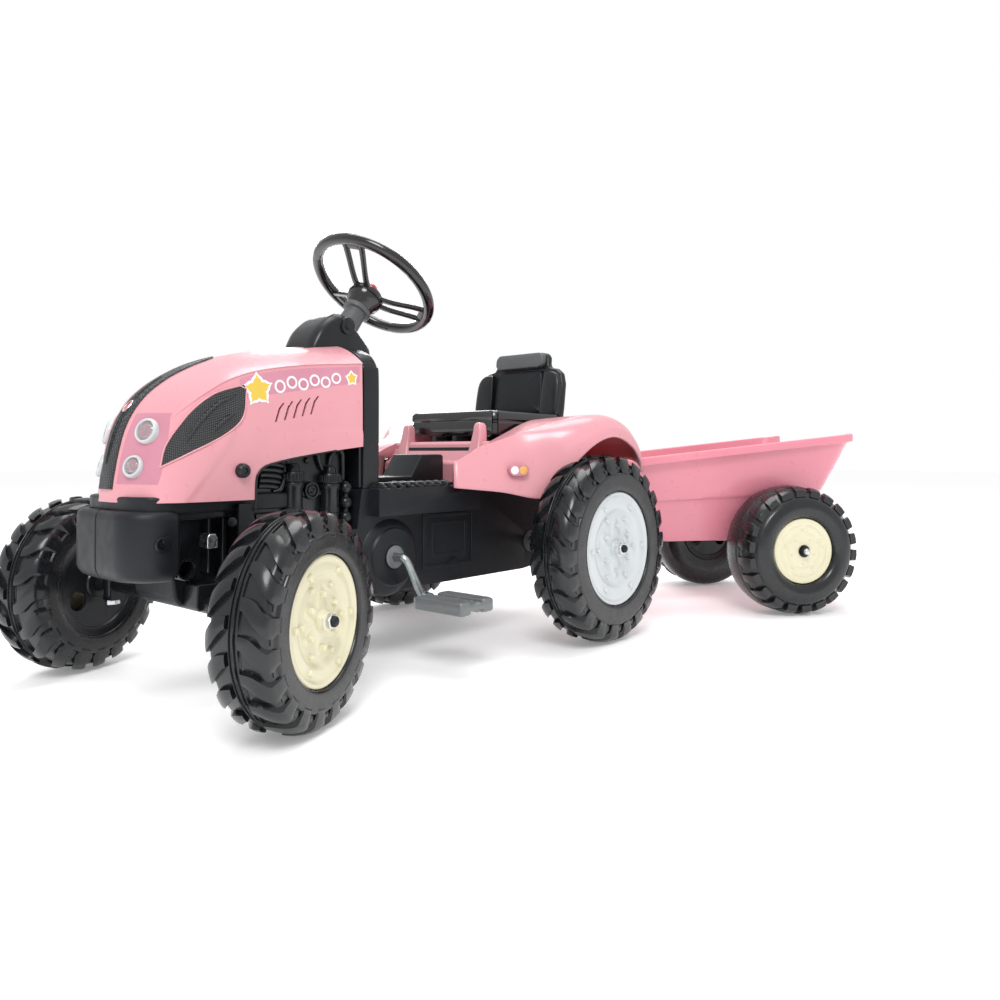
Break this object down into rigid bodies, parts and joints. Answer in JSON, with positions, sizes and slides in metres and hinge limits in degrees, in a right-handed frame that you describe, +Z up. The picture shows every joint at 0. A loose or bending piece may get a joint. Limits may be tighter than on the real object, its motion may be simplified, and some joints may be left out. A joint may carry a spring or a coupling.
{
  "type": "pedal tractor with trailer",
  "caption": "Child's ride-on pedal tractor with steered front wheels, chain-driven rear axle, tilting bonnet, sliding seat and a hitched two-wheel trailer.",
  "frame": {"origin": "on the ground under the middle of the whole train, 99 mm to the driver's left of the tractor's centre plane and 632 mm behind its front axle", "axes": "+X is the driver's left, -Y is the way the tractor faces, +Z is up"},
  "size_m": [0.8295, 1.5608, 0.6553],
  "materials": {
    "pink_plastic": "satin",
    "black_plastic": "fine textured",
    "gloss_black": "gloss",
    "tyre_black": "satin",
    "cream_plastic": "satin",
    "grey_rim": "satin",
    "zinc_steel": "zinc plated",
    "chain_steel": "oiled",
    "grey_plastic": "satin",
    "lens_clear": "clear over silver",
    "red_plastic": "gloss",
    "amber_white": "gloss",
    "bush_plastic": "matte"
  },
  "bodies": {
    "chassis": {"chassis_left": "black_plastic", "chassis_right": "black_plastic", "body_screws": "black_plastic", "front_axle_beam": "zinc_steel", "kingpins": "zinc_steel", "dash_tower": "black_plastic", "column_bush": "bush_plastic", "bonnet_hinge_pins": "zinc_steel", "engine_block": "black_plastic", "engine_canisters": "black_plastic", "engine_fittings": "black_plastic", "centre_tunnel": "black_plastic", "axle_bushes": "bush_plastic", "drive_chain": "chain_steel", "rear_body": "pink_plastic", "lamp_clusters": "amber_white", "seat_rail": "zinc_steel", "hitch_bracket": "black_plastic"},
    "bonnet": {"bonnet": "pink_plastic", "bonnet_strip": "black_plastic", "side_grilles": "black_plastic", "headlamp_bezels": "grey_plastic", "headlamp_lenses": "lens_clear", "bonnet_knobs": "black_plastic"},
    "steering": {"steering_wheel": "gloss_black", "column_sleeve": "black_plastic", "steering_shaft": "zinc_steel"},
    "horn": {"horn_button": "red_plastic"},
    "left_knuckle": {"knuckle_left": "zinc_steel", "front_cap_nut_left": "gloss_black"},
    "right_knuckle": {"knuckle_right": "zinc_steel", "front_cap_nut_right": "gloss_black"},
    "tie_rod": {"tie_rod": "zinc_steel"},
    "front_wheel_left": {"front_tyre_left": "tyre_black", "front_rim_left": "cream_plastic"},
    "front_wheel_right": {"front_tyre_right": "tyre_black", "front_rim_right": "cream_plastic"},
    "rear_drive": {"rear_axle": "zinc_steel", "rear_sprocket": "chain_steel", "rear_cap_nuts": "gloss_black", "rear_tyre_right": "tyre_black", "rear_rim_right": "grey_rim"},
    "rear_wheel_left": {"rear_tyre_left": "tyre_black", "rear_rim_left": "grey_rim"},
    "crank": {"crankshaft": "zinc_steel", "chainwheel": "chain_steel"},
    "pedal_left": {"pedal_left": "grey_plastic"},
    "pedal_right": {"pedal_right": "grey_plastic"},
    "seat": {"seat_pan": "black_plastic", "seat_back": "black_plastic"},
    "hitch_pin": {"hitch_pin": "zinc_steel"},
    "trailer": {"trailer_tub": "pink_plastic", "trailer_drawbar": "pink_plastic", "trailer_axle": "zinc_steel", "trailer_axle_carriers": "black_plastic", "trailer_axle_caps": "gloss_black"},
    "trailer_wheel_left": {"trailer_tyre_left": "tyre_black", "trailer_rim_left": "cream_plastic"},
    "trailer_wheel_right": {"trailer_tyre_right": "tyre_black", "trailer_rim_right": "cream_plastic"}
  },
  "joints": [
    {"name": "steering_turn", "type": "hinge", "parent": "chassis", "child": "steering", "pos_m": [-0.099, -0.2974, 0.5867], "axis": [0, 0.599, 0.8007], "range_deg": [-52, 8]},
    {"name": "left_kingpin", "type": "hinge", "parent": "chassis", "child": "left_knuckle", "pos_m": [0.086, -0.632, 0.125], "axis": [0, 0, 1], "range_deg": [-52, 8]},
    {"name": "right_kingpin", "type": "hinge", "parent": "chassis", "child": "right_knuckle", "pos_m": [-0.284, -0.632, 0.125], "axis": [0, 0, 1], "range_deg": [-52, 8]},
    {"name": "tie_rod_pivot", "type": "hinge", "parent": "left_knuckle", "child": "tie_rod", "pos_m": [0.069, -0.59034, 0.13], "axis": [0, 0, 1], "range_deg": [-8, 52]},
    {"name": "horn_press", "type": "slide", "parent": "steering", "child": "horn", "axis": [0, -0.599, -0.8007], "range_m": [0, 0.003], "stiffness_N_per_m": 400},
    {"name": "front_left_spin", "type": "hinge", "parent": "left_knuckle", "child": "front_wheel_left", "pos_m": [0.13692, -0.61122, 0.125], "axis": [0.9259, 0.3778, 0], "continuous": true},
    {"name": "front_right_spin", "type": "hinge", "parent": "right_knuckle", "child": "front_wheel_right", "pos_m": [-0.33492, -0.65278, 0.125], "axis": [0.9259, 0.3778, 0], "continuous": true},
    {"name": "rear_axle_spin", "type": "hinge", "parent": "chassis", "child": "rear_drive", "pos_m": [-0.099, -0.01, 0.156], "axis": [1, 0, 0], "continuous": true},
    {"name": "rear_left_spin", "type": "hinge", "parent": "rear_drive", "child": "rear_wheel_left", "pos_m": [0.151, -0.01, 0.156], "axis": [1, 0, 0], "continuous": true},
    {"name": "crank_spin", "type": "hinge", "parent": "chassis", "child": "crank", "pos_m": [-0.099, -0.349, 0.16], "axis": [1, 0, 0], "continuous": true},
    {"name": "left_pedal_spin", "type": "hinge", "parent": "crank", "child": "pedal_left", "pos_m": [0.098, -0.31409, 0.09703], "axis": [1, 0, 0], "continuous": true},
    {"name": "right_pedal_spin", "type": "hinge", "parent": "crank", "child": "pedal_right", "pos_m": [-0.296, -0.38391, 0.22297], "axis": [1, 0, 0], "continuous": true},
    {"name": "bonnet_hinge", "type": "hinge", "parent": "chassis", "child": "bonnet", "pos_m": [-0.099, -0.712, 0.262], "axis": [1, 0, 0], "range_deg": [0, 45]},
    {"name": "seat_adjust", "type": "slide", "parent": "chassis", "child": "seat", "axis": [0, 1, 0], "range_m": [0, 0.04]},
    {"name": "hitch_pin_lift", "type": "slide", "parent": "chassis", "child": "hitch_pin", "axis": [0, 0, 1], "range_m": [0, 0.06]},
    {"name": "hitch_turn", "type": "hinge", "parent": "chassis", "child": "trailer", "pos_m": [-0.099, 0.198, 0.157], "axis": [0, 0, 1], "range_deg": [-14, 86]},
    {"name": "trailer_left_spin", "type": "hinge", "parent": "trailer", "child": "trailer_wheel_left", "pos_m": [0.3089, 0.43192, 0.125], "axis": [0.809, -0.5878, 0], "continuous": true},
    {"name": "trailer_right_spin", "type": "hinge", "parent": "trailer", "child": "trailer_wheel_right", "pos_m": [-0.00258, 0.65822, 0.125], "axis": [0.809, -0.5878, 0], "continuous": true}
  ],
  "couplings": [
    {"joint": "left_kingpin", "follows": "steering_turn", "ratio": 1},
    {"joint": "right_kingpin", "follows": "steering_turn", "ratio": 1},
    {"joint": "tie_rod_pivot", "follows": "steering_turn", "ratio": -1},
    {"joint": "crank_spin", "follows": "rear_axle_spin", "ratio": 0.625}
  ]
}
